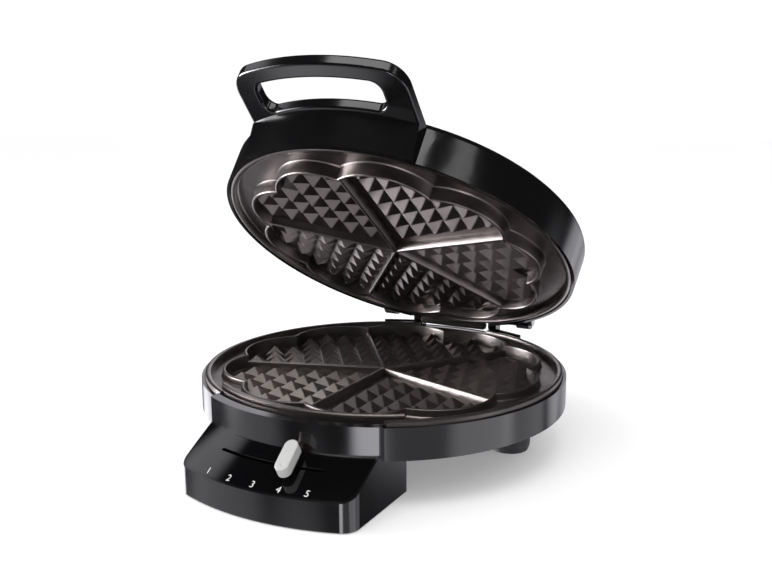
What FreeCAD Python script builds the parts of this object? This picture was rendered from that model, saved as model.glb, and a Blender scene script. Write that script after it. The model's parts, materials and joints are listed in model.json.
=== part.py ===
import FreeCAD, Part
import math
import os
from FreeCAD import Vector

# Electric heart waffle maker, shown with its lid open.  Millimetres, +Z up.
# Everything is drawn about the vertical axis of the round cooking plates, with the
# floor at z = 0 and the handle towards -Y.  The lid is drawn closed and then swung
# open about its hinge.  At the end all pieces are moved along Y so that the origin
# is the centre of the whole object's footprint.

# ---- driving dimensions ----
HOUSING_R = 120.0            # outside of the base band
BAND_BOTTOM = 28.0
BAND_TOP = 47.0
WALL = 2.2                   # moulded wall thickness
PLATE_R = 117.6              # outside of the lower plate's skirt
BAND_INNER_R = PLATE_R + 0.5

FRONT_HALF_WIDTH = 57.5      # of the console, both fascias and the handle
FASCIA_R = 124.3             # front face of both fascias
FASCIA_BOTTOM = 33.2
FASCIA_TOP = 49.1
CONSOLE_R = 151.0            # front face of the console
CONSOLE_BACK_Y = -79.0
CONSOLE_CORNER_R = 10.0
PANEL_SLOPE = 0.611          # fall of the conical control panel per millimetre of radius
PANEL_THICKNESS = 2.0
PAD_HEIGHT = 0.5             # rubber pads stand this far out of what they sit in

SLOT_R = 134.0               # radius of the slider's curved slot
SLOT_HALF_ANGLE = 14.5       # degrees
SLOT_WIDTH = 1.7
SLIDER_REST_ANGLE = 6.6      # degrees from the middle, beside the figure 4
SPINDLE_R = 3.0
ARM_BOTTOM = 20.4            # height of the lever that joins the slider to the thermostat
RUNNING_GAP = 0.05

HINGE_Y = 118.3
HINGE_Z = 59.6
LID_OPEN_ANGLE = 36.8        # degrees
KNUCKLE_R = 6.3              # of the grooved outer end of each lid barrel
KNUCKLE_X = (51.0, 61.0)
BARREL_R = 4.6               # of the rest of the barrel
POST_R = 4.4                 # rounded top of the base's hinge posts
POST_X = (28.2, 34.8)
HINGE_GAP = 0.4              # between a post and the lid's barrel
PIN_R = 2.5
REAR_LIP_HALF_WIDTH = 57.0
LUG_GAP_HALF_WIDTH = 28.2    # opening behind the plates for the upper plate's lug
LUG_GAP_BOTTOM = 47.6

LID_RIM_Z = 51.0
LID_RIM_R = 119.5
LID_EDGE_R = 120.9
LID_LEAN = 1.8               # the top of the band's wall lies this far behind its rim
LID_EDGE_Z = 75.0
LID_TOP_Z = 86.0
LID_EDGE_ROUND = 4.5
CROWN_R = 940.0              # radius of the lid's slightly domed top

HANDLE_R = 157.0             # outer edge of the handle
HANDLE_CORNER_R = 17.0
HANDLE_THICKNESS = 7.6
HANDLE_ROUND = 1.6           # rounding of the handle's long edges
HANDLE_SLOPE = 0.28          # rise of the handle per millimetre outwards
HANDLE_ROOT = (129.0, 71.5)  # radius and height of a point on the handle's underside
LID_FASCIA_R = 123.7
LID_FASCIA_FLARE = 0.17      # the lid's fascia leans out by this much per millimetre of height
HANDLE_SCREW_X = 32.0
HANDLE_SCREW_Z = 65.5
HANDLE_SCREW_DEPTH = 19.0
GRIP_HALF_WIDTH = 41.0       # finger opening
GRIP_INNER_R = 129.0
GRIP_OUTER_R = 147.5

HEARTS = 5
LOBE_ANGLE = 36.0
FIRST_RIB_ANGLE = -90.0
PYRAMID_PITCH = 14.0
PYRAMID_VALLEY = 0.4         # flat width between two pyramids
# Distance of the first pyramid row from the hub, along each of a heart's two ribs.
ROW_STARTS = [(8.3, 7.1), (6.9, 3.5), (1.0, 6.1), (7.8, -1.5), (4.5, 7.2)]

LOWER_LOBE = (68.1, 38.4)    # centre radius and own radius of a lobe's outside
UPPER_LOBE = (65.4, 35.6)
HEART_WALL = 2.0
RIB_HALF_WIDTH = 1.1

LOWER_FLOOR = 41.2
LOWER_BACK = 38.2
LOWER_GUTTER = 45.5
LOWER_RIM_TOP = 50.2
LOWER_WALL_TOP = 50.4
LOWER_RIB_TOP = 46.4
LOWER_APEX = 46.2
LOWER_RIM_WIDTH = 3.8
SKIRT_BOTTOM = 37.2

UPPER_PLATE_R = 117.0
UPPER_CEILING = 54.8
UPPER_BACK = 58.5
UPPER_GUTTER = 56.0
UPPER_RIM_BOTTOM = 51.4
UPPER_WALL_BOTTOM = 47.0
UPPER_RIB_BOTTOM = 48.5
UPPER_APEX = 49.5

ELEMENT_R = 3.0
ELEMENT_RING_R = 62.0
PLATE_SCREW_R = 80.0         # radius of the circle of plate screws
PLATE_SCREW_ANGLES = (60.0, 120.0, 240.0, 300.0)
COVER_SCREW_R = 110.5
COVER_SCREW_ANGLES = (15.0, 75.0, 105.0, 165.0)
COVER_SCREW_SEAT = 27.6
FOOT_RING_R = 86.0
FOOT_HALF_WIDTH = 12.0
FOOT_ANGLES = (9.0, 44.0)

Z_AXIS = Vector(0, 0, 1)
X_AXIS = Vector(1, 0, 0)


# ---- small helpers ----
def polar(radius, degrees, z=0.0):
    turn = math.radians(degrees)
    return Vector(radius * math.cos(turn), radius * math.sin(turn), z)


def disc(radius, z0, z1, centre=Vector(0, 0, 0)):
    return Part.makeCylinder(radius, z1 - z0, centre + Vector(0, 0, z0))


def ring(outer, inner, z0, z1):
    return disc(outer, z0, z1).cut(disc(inner, z0 - 1, z1 + 1))


def block(x0, x1, y0, y1, z0, z1):
    return Part.makeBox(x1 - x0, y1 - y0, z1 - z0, Vector(x0, y0, z0))


def along_x(radius, x0, x1, y, z):
    return Part.makeCylinder(radius, x1 - x0, Vector(x0, y, z), X_AXIS)


def turned(profile):
    points = [Vector(r, 0, z) for r, z in profile]
    face = Part.Face(Part.makePolygon(points + [points[0]]))
    return face.revolve(Vector(0, 0, 0), Z_AXIS, 360)


def raised(edges, z0, z1):
    face = Part.Face(Part.Wire(edges))
    face.translate(Vector(0, 0, z0))
    return face.extrude(Vector(0, 0, z1 - z0))


def sector(angle0, angle1, z0, z1, reach=200.0):
    steps = 4
    rim = [polar(reach, angle0 + (angle1 - angle0) * i / steps) for i in range(steps + 1)]
    wire = Part.makePolygon([Vector(0, 0, 0)] + rim + [Vector(0, 0, 0)])
    return raised(wire.Edges, z0, z1)


def fused(first, others):
    return first.multiFuse(others)


def both_sides(shape):
    mirrored = shape.mirror(Vector(0, 0, 0), X_AXIS)
    return Part.makeCompound([shape, mirrored])


def tongue(half_width, front_r, back_y, corner_r, z0, z1):
    """A block with straight sides, a front concentric with the plates and rounded corners."""
    corner_x = half_width - corner_r
    corner_y = -math.sqrt((front_r - corner_r) ** 2 - corner_x ** 2)
    outward = front_r / (front_r - corner_r)
    middle = math.atan2(corner_y, corner_x) / 2
    right_side = Vector(half_width, corner_y, 0)
    right_front = Vector(corner_x * outward, corner_y * outward, 0)
    corner_mid = Vector(corner_x, corner_y, 0) + Vector(math.cos(middle), math.sin(middle), 0) * corner_r

    def left(point):
        return Vector(-point.x, point.y, 0)

    back_right = Vector(half_width, back_y, 0)
    edges = [
        Part.LineSegment(left(back_right), back_right).toShape(),
        Part.LineSegment(back_right, right_side).toShape(),
        Part.Arc(right_side, corner_mid, right_front).toShape(),
        Part.Arc(right_front, Vector(0, -front_r, 0), left(right_front)).toShape(),
        Part.Arc(left(right_front), left(corner_mid), left(right_side)).toShape(),
        Part.LineSegment(left(right_side), left(back_right)).toShape(),
    ]
    return raised(edges, z0, z1)


def panel_z(radius):
    return FASCIA_BOTTOM - PANEL_SLOPE * (radius - FASCIA_R)


def under_panel(drop):
    """Everything below the conical panel surface, lowered by drop."""
    edge = CONSOLE_R + 5
    return turned([(0, -2), (0, FASCIA_BOTTOM - drop), (FASCIA_R, FASCIA_BOTTOM - drop),
                   (edge, panel_z(edge) - drop), (edge, -2)])


# ---- heart pattern ----
def lobe_cusp_r(lobe, inset=0.0):
    centre_r, own_r = lobe
    half = math.radians(LOBE_ANGLE / 2)
    return centre_r * math.cos(half) + math.sqrt((own_r - inset) ** 2 - (centre_r * math.sin(half)) ** 2)


def flower(lobe, inset, z0, z1):
    """Five hearts side by side: ten lobes round the hub."""
    centre_r, own_r = lobe
    cusp_r = lobe_cusp_r(lobe, inset)
    tip_r = centre_r + own_r - inset
    edges = []
    for i in range(2 * HEARTS):
        start = FIRST_RIB_ANGLE + i * LOBE_ANGLE
        end = start + LOBE_ANGLE
        arc = Part.Arc(polar(cusp_r, start), polar(tip_r, (start + end) / 2), polar(cusp_r, end))
        edges.append(arc.toShape())
    return raised(edges, z0, z1)


def ribs(lobe, z0, z1):
    length = lobe_cusp_r(lobe) - HEART_WALL / 2
    bars = []
    for i in range(HEARTS):
        bar = block(0, length, -RIB_HALF_WIDTH, RIB_HALF_WIDTH, z0, z1)
        bar.rotate(Vector(0, 0, 0), Z_AXIS, FIRST_RIB_ANGLE + 72 * i)
        bars.append(bar)
    return bars


def pyramid(corners, centre, root_z, base_z, apex_z):
    root = [Vector(p.x, p.y, root_z) for p in corners]
    base = [Vector(p.x, p.y, base_z) for p in corners]
    apex = Vector(centre.x, centre.y, apex_z)
    faces = [Part.Face(Part.makePolygon(root + [root[0]]))]
    for i in range(4):
        j = (i + 1) % 4
        faces.append(Part.Face(Part.makePolygon([root[i], root[j], base[j], base[i], root[i]])))
        faces.append(Part.Face(Part.makePolygon([base[i], base[j], apex, base[i]])))
    solid = Part.Solid(Part.Shell(faces))
    if solid.Volume < 0:
        solid.reverse()
    return solid


def heart_pyramids(heart, lobe, root_z, base_z, apex_z):
    """Rows of pyramids on a skewed grid that runs parallel to the heart's two ribs."""
    first = FIRST_RIB_ANGLE + 72 * heart
    along_a = polar(1, first)
    along_b = polar(1, first + 72)
    start_a, start_b = ROW_STARTS[heart]
    half = (PYRAMID_PITCH - PYRAMID_VALLEY) / 2
    centre_r, own_r = lobe
    solids = []
    for i in range(-1, 8):
        for j in range(-1, 8):
            a = start_a + (i + 0.5) * PYRAMID_PITCH
            b = start_b + (j + 0.5) * PYRAMID_PITCH
            centre = along_a * a + along_b * b
            angle = math.degrees(math.atan2(centre.y, centre.x))
            from_rib = (angle - first) % 360
            nearest_lobe = first + LOBE_ANGLE * (0.5 if from_rib < LOBE_ANGLE else 1.5)
            room = own_r - HEART_WALL - centre.distanceToPoint(polar(centre_r, nearest_lobe))
            rib_room = min(a, b) * math.sin(math.radians(72))
            if centre.Length > centre_r and room < 3.0 or rib_room < 1.5 or from_rib > 72:
                continue
            corners = [centre + along_a * (s * half) + along_b * (t * half)
                       for s, t in ((-1, -1), (1, -1), (1, 1), (-1, 1))]
            solids.append(pyramid(corners, centre, root_z, base_z, apex_z))
    low = min(root_z, apex_z) - 1
    high = max(root_z, apex_z) + 1
    cavity = flower(lobe, HEART_WALL - 0.3, low, high).common(sector(first, first + 72, low, high))
    return [cavity.common(solid) for solid in solids]


def plate_pyramids(lobe, root_z, base_z, apex_z):
    return [p for heart in range(HEARTS) for p in heart_pyramids(heart, lobe, root_z, base_z, apex_z)]


# ---- base ----
def base_housing():
    band = ring(HOUSING_R, BAND_INNER_R, BAND_BOTTOM, BAND_TOP)
    ledge = ring(BAND_INNER_R + 0.5, 109.0, SKIRT_BOTTOM - 2.2, SKIRT_BOTTOM - 0.2)
    fascia = tongue(FRONT_HALF_WIDTH, FASCIA_R, CONSOLE_BACK_Y, 0.8, FASCIA_BOTTOM, FASCIA_TOP)
    fascia = fascia.cut(tongue(FRONT_HALF_WIDTH - WALL, FASCIA_R - WALL, CONSOLE_BACK_Y - 1, 0.5,
                               FASCIA_BOTTOM - 1, FASCIA_TOP - WALL))
    fascia = fascia.cut(disc(BAND_INNER_R, 20, 60))

    console = tongue(FRONT_HALF_WIDTH, CONSOLE_R, CONSOLE_BACK_Y, CONSOLE_CORNER_R, PAD_HEIGHT, 40)
    console = console.common(under_panel(0))
    hollow = tongue(FRONT_HALF_WIDTH - WALL, CONSOLE_R - WALL, CONSOLE_BACK_Y - WALL,
                    CONSOLE_CORNER_R - WALL, -1, 40)
    seat = tongue(FRONT_HALF_WIDTH - 1.2, CONSOLE_R - 1.2, CONSOLE_BACK_Y - 10,
                  CONSOLE_CORNER_R - 1.2, -1, 40)
    seat = seat.cut(under_panel(PANEL_THICKNESS + 0.1)).cut(disc(FASCIA_R + 0.1, -2, 60))
    console = console.cut(hollow.common(under_panel(PANEL_THICKNESS + 2.0)))
    window = tongue(FRONT_HALF_WIDTH - 4, CONSOLE_R - 4, CONSOLE_BACK_Y - 10, CONSOLE_CORNER_R - 4, -1, 40)
    console = console.cut(seat).cut(window.cut(disc(FASCIA_R + 2, -2, 60)))
    console = console.cut(disc(BAND_INNER_R, BAND_BOTTOM, 40))
    console = console.cut(block(-31, 31, CONSOLE_BACK_Y - 5, CONSOLE_BACK_Y + 1, 19.8, 40))

    posts = [disc(4.0, 30.4, SKIRT_BOTTOM - 2.0, polar(COVER_SCREW_R, a)) for a in COVER_SCREW_ANGLES]
    housing = fused(band, [ledge, fascia, console, rear_lip()] + posts + hinge_posts())
    for angle in COVER_SCREW_ANGLES:
        housing = housing.cut(disc(1.6, 30, SKIRT_BOTTOM - 1.0, polar(COVER_SCREW_R, angle)))
    housing = housing.cut(lamp_window(0.0))
    housing = housing.cut(block(LAMP_X - 3.4, LAMP_X + 3.4, -116, -104, 31, 40))
    housing = housing.cut(block(-8, 8, 100, BAND_INNER_R, 33, 40))
    return housing.cut(Part.makeCylinder(INLET_R, 12, Vector(0, 112, INLET_Z), Vector(0, 1, 0)))


def hinge_posts():
    """Two posts behind the band that carry the hinge pins."""
    x0, x1 = POST_X
    post = block(x0, x1, HINGE_Y - POST_R, HINGE_Y + POST_R, BAND_BOTTOM + 6, HINGE_Z)
    post = post.fuse(along_x(POST_R, x0, x1, HINGE_Y, HINGE_Z))
    post = post.cut(disc(BAND_INNER_R + 0.4, 20, LID_RIM_Z))
    post = post.cut(along_x(PIN_R + 0.03, x0 - 1, x1 + 1, HINGE_Y, HINGE_Z))
    return [post, post.mirror(Vector(0, 0, 0), X_AXIS)]


def rear_lip():
    """A low lip behind the band that runs between the lid's barrels, open for the upper plate's lug."""
    behind = block(-REAR_LIP_HALF_WIDTH, REAR_LIP_HALF_WIDTH, 60, 130, 40, 60)
    foot = ring(HOUSING_R + 1.6, HOUSING_R - 0.1, 42.0, BAND_TOP)
    lip = ring(HOUSING_R + 1.6, HOUSING_R + 0.3, BAND_TOP - 1, LID_RIM_Z - 0.1)
    lug_gap = block(-LUG_GAP_HALF_WIDTH, LUG_GAP_HALF_WIDTH, 107, 125, LUG_GAP_BOTTOM, 60)
    return foot.fuse(lip).common(behind).cut(lug_gap)


LAMP_X = 16.7                # centre of the pilot lamp's window
LAMP_HALF_WIDTH = 3.4
LAMP_TOP = 41.3
INLET_R = 3.1
INLET_Z = 33.5


def lamp_window(gap):
    return block(LAMP_X - LAMP_HALF_WIDTH + gap, LAMP_X + LAMP_HALF_WIDTH - gap, -126, -110,
                 FASCIA_BOTTOM + 0.6 + gap, LAMP_TOP - gap)


def indicator_lens():
    lens = lamp_window(0.1).common(disc(FASCIA_R - 0.4, 30, 50))
    return lens.cut(disc(HOUSING_R - 4.0, 30, 50))


def pilot_lamp():
    centre = Vector(LAMP_X, -111.0, 34.0)
    return Part.makeCylinder(2.5, 5.5, centre, Vector(0, 1, 0)).fuse(Part.makeSphere(2.5, centre))


def console_panel():
    panel = tongue(FRONT_HALF_WIDTH - 1.35, CONSOLE_R - 1.35, CONSOLE_BACK_Y - 10,
                   CONSOLE_CORNER_R - 1.35, 0, 40)
    panel = panel.common(under_panel(0.15)).cut(under_panel(PANEL_THICKNESS))
    panel = panel.cut(disc(FASCIA_R + 0.25, -2, 60))
    slot = ring(SLOT_R + SLOT_WIDTH / 2, SLOT_R - SLOT_WIDTH / 2, 10, 50)
    slot = slot.common(sector(-90 - SLOT_HALF_ANGLE, -90 + SLOT_HALF_ANGLE, 10, 50))
    ends = [disc(SLOT_WIDTH / 2, 10, 50, polar(SLOT_R, -90 + side * SLOT_HALF_ANGLE)) for side in (-1, 1)]
    return panel.cut(fused(slot, ends))


def console_floor():
    plate = tongue(FRONT_HALF_WIDTH - WALL - 0.2, CONSOLE_R - WALL - 0.2, CONSOLE_BACK_Y - WALL - 0.2,
                   CONSOLE_CORNER_R - WALL - 0.2, 1.5, 3.5)
    for side in (-1, 1):
        plate = plate.cut(disc(7.1, 0, 2.5, Vector(side * 40, -130, 0)))
    return plate


def front_pads():
    return Part.makeCompound([disc(7.0, 0, 2.5, Vector(side * 40, -130, 0)) for side in (-1, 1)])


def foot_shape(half_width, z0, z1):
    inner = FOOT_RING_R - half_width
    outer = FOOT_RING_R + half_width
    bar = ring(outer, inner, z0, z1).common(sector(FOOT_ANGLES[0], FOOT_ANGLES[1], z0 - 1, z1 + 1))
    ends = [disc(half_width, z0, z1, polar(FOOT_RING_R, angle)) for angle in FOOT_ANGLES]
    return fused(bar, ends)


def rear_pads():
    return both_sides(foot_shape(FOOT_HALF_WIDTH - 3, 0, 2.5))


def bottom_cover():
    dish = turned([(0, 17.5), (57, 17.5), (64, 24.4), (96, 24.4), (BAND_INNER_R - 0.3, 28.3),
                   (BAND_INNER_R - 0.3, 30.3), (96, 26.4), (65, 26.4), (58, 19.5), (0, 19.5)])
    front = CONSOLE_BACK_Y + 0.3
    channel = block(-34, 34, front, -40, 17.5, 26.4).cut(disc(57, 17, 30))
    hollow = block(-32, 32, front - 1, -30, 19.5, 30)
    foot = foot_shape(FOOT_HALF_WIDTH, PAD_HEIGHT, 26.0)
    foot = foot.cut(foot_shape(FOOT_HALF_WIDTH - 2, 4.5, 28.0)).cut(foot_shape(FOOT_HALF_WIDTH - 2.9, 0, 2.5))
    feet = [foot, foot.mirror(Vector(0, 0, 0), X_AXIS)]
    inside = turned([(0, 19.5), (58, 19.5), (65, 26.4), (96, 26.4), (BAND_INNER_R, 30.3),
                     (BAND_INNER_R, 50), (0, 50)])
    cover = fused(dish, [channel] + feet).cut(hollow).cut(inside)
    cover = cover.cut(block(-60, 60, -200, front, 0, 60))
    for angle in COVER_SCREW_ANGLES:
        cover = cover.cut(disc(1.8, 20, 40, polar(COVER_SCREW_R, angle)))
        cover = cover.cut(disc(3.3, 20, COVER_SCREW_SEAT, polar(COVER_SCREW_R, angle)))
    for angle in PLATE_SCREW_ANGLES:
        cover = cover.cut(disc(2.4, 20, 40, polar(PLATE_SCREW_R, angle)))
    for i in range(8):
        vent = block(30, 50, -1.5, 1.5, 10, 25)
        vent.rotate(Vector(0, 0, 0), Z_AXIS, 22.5 + 45 * i)
        cover = cover.cut(vent)
    return cover


def screw(centre, shaft_r, head_r, head_z, tip_z):
    """A pan-head screw with its head below, pointing up."""
    head = disc(head_r, head_z - 1.6, head_z, centre)
    recess = block(-head_r * 0.6, head_r * 0.6, -0.45, 0.45, head_z - 1.7, head_z - 0.9)
    recess = recess.fuse(block(-0.45, 0.45, -head_r * 0.6, head_r * 0.6, head_z - 1.7, head_z - 0.9))
    recess.translate(centre)
    return head.cut(recess).fuse(disc(shaft_r, head_z, tip_z, centre))


def cover_screws():
    return Part.makeCompound([screw(polar(COVER_SCREW_R, a), 1.55, 3.0, COVER_SCREW_SEAT, 34.5)
                              for a in COVER_SCREW_ANGLES])


def lower_plate_screws():
    return Part.makeCompound([screw(polar(PLATE_SCREW_R, a), 1.95, 3.8, 24.3, 38.0)
                              for a in PLATE_SCREW_ANGLES])


def lower_plate():
    body = disc(PLATE_R, LOWER_GUTTER - 2.6, LOWER_GUTTER)
    rim = ring(PLATE_R, PLATE_R - LOWER_RIM_WIDTH, SKIRT_BOTTOM, LOWER_RIM_TOP)
    front_cut = ring(PLATE_R + 1, PLATE_R - 2.4, SKIRT_BOTTOM - 1, LOWER_RIM_TOP + 1)
    front_cut = front_cut.common(block(-56.5, 56.5, -130, 0, 0, 60))
    rear_cut = block(-LUG_GAP_HALF_WIDTH, LUG_GAP_HALF_WIDTH, 107.0, 125, LUG_GAP_BOTTOM, 60)
    ledge = ring(111.8, 108.6, LOWER_GUTTER - 1, 51.8).common(sector(-124.5, -55.5, 40, 60))
    hearts = flower(LOWER_LOBE, 0, LOWER_BACK, LOWER_WALL_TOP)
    bosses = [disc(5, 31.8, LOWER_BACK + 1, polar(PLATE_SCREW_R, a)) for a in PLATE_SCREW_ANGLES]
    plate = fused(body, [rim, hearts, ledge] + bosses)
    plate = plate.cut(flower(LOWER_LOBE, HEART_WALL, LOWER_FLOOR, 60)).cut(front_cut).cut(rear_cut)
    pattern = plate_pyramids(LOWER_LOBE, LOWER_FLOOR - 0.5, LOWER_FLOOR, LOWER_APEX)
    plate = fused(plate, ribs(LOWER_LOBE, LOWER_FLOOR - 0.5, LOWER_RIB_TOP) + pattern)
    for angle in PLATE_SCREW_ANGLES:
        plate = plate.cut(disc(2.0, 30, 39.2, polar(PLATE_SCREW_R, angle)))
    return plate


def heating_element(z, end_z):
    """A tubular ring, open at the back, whose two ends turn up or down to cold pins."""
    start = polar(ELEMENT_RING_R, 105, z)
    circle = Part.Circle(start, polar(1, 195), ELEMENT_R)
    tube = Part.Face(Part.Wire(circle.toShape())).revolve(Vector(0, 0, 0), Z_AXIS, 330)
    pieces = []
    for angle in (105, 75):
        direction = Vector(0, 0, 1 if end_z > z else -1)
        pieces.append(Part.makeSphere(ELEMENT_R, polar(ELEMENT_RING_R, angle, z)))
        pieces.append(Part.makeCylinder(1.4, abs(end_z - z), polar(ELEMENT_RING_R, angle, z), direction))
    return fused(tube, pieces)


def lower_reflector():
    dish = turned([(26, 31.0), (99, 31.0), (104, 36.0), (104.6, 35.4), (99.3, 30.4), (26, 30.4)])
    for angle in PLATE_SCREW_ANGLES:
        dish = dish.cut(disc(2.6, 20, 40, polar(PLATE_SCREW_R, angle)))
    for angle in (105, 75):
        dish = dish.cut(disc(3.4, 20, 40, polar(ELEMENT_RING_R, angle)))
    return dish


def thermostat():
    body = disc(13, 25.5, LOWER_BACK - 0.1)
    tabs = block(-22, 22, -3.5, 3.5, 31.6, 33.0)
    return body.fuse(tabs).cut(disc(SPINDLE_R + RUNNING_GAP, 20, 32.1))


def terminal_block():
    body = block(-52, -30, -8, 8, 19.6, 28.0)
    for y in (-4.5, 0.5, 5.5):
        body = body.cut(disc(1.5, 24, 30, Vector(-41, y - 0.5, 0)))
    return body


def thermal_fuse():
    return Part.makeCylinder(2.2, 14, Vector(34, -7, 28.2), Vector(0, 1, 0))


def wire(points, radius=1.1):
    path = Part.makePolygon(points)
    section = Part.Wire(Part.makeCircle(radius, points[0], points[1] - points[0]))
    mitred = 1
    return path.makePipeShell([section], True, False, mitred)


def base_wiring():
    wires = []
    for side, last in ((-1, [Vector(-40, 30, 24), Vector(-41, 9.5, 24)]),
                       (1, [Vector(36, 34, 26), Vector(34, 9.0, 28.2)])):
        entry = [Vector(side * 1.25, 119, INLET_Z), Vector(side * 1.25, 108, 31.6),
                 Vector(side * 1.25, 97, 28.5), Vector(side * 1.25, 70, 28.3)]
        wires.append(wire(entry + last))
    return Part.makeCompound(wires)


def cord_inlet():
    y_out = Vector(0, 1, 0)
    collar = Part.makeCylinder(5.0, 6, Vector(0, HOUSING_R, INLET_Z), y_out)
    collar = collar.fuse(Part.makeCylinder(INLET_R - 0.03, 6, Vector(0, HOUSING_R - 5, INLET_Z), y_out))
    hole = Part.makeCylinder(INLET_R, 20, Vector(0, 110, INLET_Z), y_out)
    collar = collar.cut(disc(HOUSING_R - 0.02, 20, 50).cut(hole))
    return collar.cut(Part.makeCylinder(2.5, 30, Vector(0, 100, INLET_Z), y_out))


def hinge_pins():
    head_x = KNUCKLE_X[1] + 0.4
    pin = along_x(PIN_R, POST_X[0], head_x, HINGE_Y, HINGE_Z)
    head = along_x(PIN_R + 1.2, head_x, head_x + 1.4, HINGE_Y, HINGE_Z)
    return both_sides(pin.fuse(head))


# ---- heat slider, drawn at the middle of its slot ----
def on_panel(shape):
    """Move a shape from flat ground to the panel: its origin goes to the slot's middle, +Y points uphill."""
    shape.rotate(Vector(0, 0, 0), X_AXIS, math.degrees(math.atan(PANEL_SLOPE)))
    shape.translate(Vector(0, -SLOT_R, panel_z(SLOT_R)))
    shape.rotate(Vector(0, 0, 0), Z_AXIS, SLIDER_REST_ANGLE)
    return shape


def stadium(half_length, radius, z0, z1):
    bar = block(-radius, radius, -half_length, half_length, z0, z1)
    return fused(bar, [disc(radius, z0, z1, Vector(0, side * half_length, 0)) for side in (-1, 1)])


def slider_knob():
    knob = stadium(6.4, 4.0, 3.8, 10.4)
    knob = knob.removeSplitter()
    rim = [e for e in knob.Edges if e.BoundBox.ZMin > 10.3]
    knob = knob.makeFillet(0.6, rim)
    knob = knob.cut(Part.makeSphere(2.2, Vector(0, -6.4, 12.2)))
    return on_panel(knob)


def slider_carriage():
    foot = on_panel(stadium(4.4, 2.8, 0.4, 3.8))
    blade = block(-2, 2, -SLOT_R - 0.5, -SLOT_R + 0.5, ARM_BOTTOM, panel_z(SLOT_R) + 1.5)
    blade.rotate(Vector(0, 0, 0), Z_AXIS, SLIDER_REST_ANGLE)
    return foot.fuse(blade)


def slider_arm():
    top = ARM_BOTTOM + 1.5
    plate = block(-5, 5, -SLOT_R, 0, ARM_BOTTOM, top)
    tip = disc(5, ARM_BOTTOM, top, Vector(0, -SLOT_R, 0))
    hub = disc(8, ARM_BOTTOM, top)
    arm = fused(plate, [tip, hub]).cut(disc(SPINDLE_R, 10, 30))
    arm.rotate(Vector(0, 0, 0), Z_AXIS, SLIDER_REST_ANGLE)
    return arm.cut(slider_carriage())


def thermostat_spindle():
    return disc(SPINDLE_R, 20.0, 32.0)


# ---- lid, drawn closed ----
def leaning_cone(bottom_r, top_r, z0, z1):
    """A round band whose centre moves back as it rises, as the lid's wall does."""
    lean = LID_LEAN * (z1 - LID_RIM_Z) / (LID_EDGE_Z - LID_RIM_Z)
    start = LID_LEAN * (z0 - LID_RIM_Z) / (LID_EDGE_Z - LID_RIM_Z)
    rings = [Part.Wire(Part.makeCircle(bottom_r, Vector(0, start, z0))),
             Part.Wire(Part.makeCircle(top_r, Vector(0, lean, z1)))]
    return Part.makeLoft(rings, True, True)


def lid_outside():
    flare = (LID_EDGE_R - LID_RIM_R) / (LID_EDGE_Z - LID_RIM_Z)
    cone = leaning_cone(LID_RIM_R, LID_RIM_R + flare * (LID_TOP_Z - LID_RIM_Z), LID_RIM_Z, LID_TOP_Z)
    dome = cone.common(Part.makeSphere(CROWN_R, Vector(0, 0, LID_TOP_Z - CROWN_R)))
    edge = [e for e in dome.Edges
            if LID_RIM_Z + 5 < e.BoundBox.ZMin and e.BoundBox.ZLength < 2 < e.BoundBox.XLength]
    return dome.makeFillet(LID_EDGE_ROUND, edge)


def lid_inside():
    flare = (LID_EDGE_R - LID_RIM_R) / (LID_EDGE_Z - LID_RIM_Z)
    low = LID_RIM_Z + 0.5
    wall_top = LID_TOP_Z - 9.5
    cone = leaning_cone(LID_RIM_R - 2.1, LID_RIM_R - 2.1 + flare * (wall_top - low), low, wall_top)
    roof = turned([(0, wall_top - 0.1), (115.0, wall_top - 0.1), (112.0, wall_top + 0.6), (62, LID_TOP_Z - 4.2),
                   (0, LID_TOP_Z - 2.2)])
    return fused(disc(LID_RIM_R - 1.8, 40, low + 0.2), [cone, roof])


def lid_barrel():
    """The right-hand hinge barrel, with a web that joins it to the back of the lid."""
    x0 = POST_X[1] + HINGE_GAP
    x1 = KNUCKLE_X[1]
    barrel = along_x(BARREL_R, x0, x1, HINGE_Y, HINGE_Z)
    knuckle = along_x(KNUCKLE_R, KNUCKLE_X[0], x1, HINGE_Y, HINGE_Z)
    web = block(x0, x1, 100, HINGE_Y + BARREL_R, HINGE_Z, HINGE_Z + 9)
    web = web.cut(along_x(7, x0 - 1, x1 + 1, HINGE_Y + BARREL_R + 2, HINGE_Z + 11))
    mid_wall = leaning_cone(LID_RIM_R - 1.0, LID_EDGE_R - 1.0, LID_RIM_Z, LID_EDGE_Z)
    barrel = fused(barrel, [knuckle, web]).cut(mid_wall)
    for i in range(4):
        groove_x = KNUCKLE_X[0] + 1.3 + 2.2 * i
        barrel = barrel.cut(block(groove_x, groove_x + 0.9, 90, 140, HINGE_Z - 9, HINGE_Z - KNUCKLE_R + 1.3))
    return barrel


def lid_shell():
    shell = lid_outside().cut(lid_inside())
    ledge = ring(118.9, 110.0, UPPER_BACK + 0.1, UPPER_BACK + 2.1)
    ledge.translate(Vector(0, LID_LEAN / 3, 0))
    barrel = lid_barrel()
    shell = fused(shell, [ledge, barrel, barrel.mirror(Vector(0, 0, 0), X_AXIS)])
    shell = shell.cut(block(-27.6, 27.6, 105, 130, 40, 54.6))
    for side in (-1, 1):
        hole = Part.makeCylinder(2.2, 30, Vector(side * HANDLE_SCREW_X, -100, HANDLE_SCREW_Z), Vector(0, -1, 0))
        shell = shell.cut(hole)
        notch = [side * (POST_X[0] - 0.6), side * (POST_X[1] + HINGE_GAP)]
        shell = shell.cut(block(min(notch), max(notch), HINGE_Y - POST_R - 0.5, 130, 40, HINGE_Z))
        shell = shell.cut(along_x(POST_R + 0.5, min(notch), max(notch), HINGE_Y, HINGE_Z))
        bore = [side * POST_X[1], side * (KNUCKLE_X[1] + 1)]
        shell = shell.cut(along_x(PIN_R + RUNNING_GAP, min(bore), max(bore), HINGE_Y, HINGE_Z))
    return shell


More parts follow.
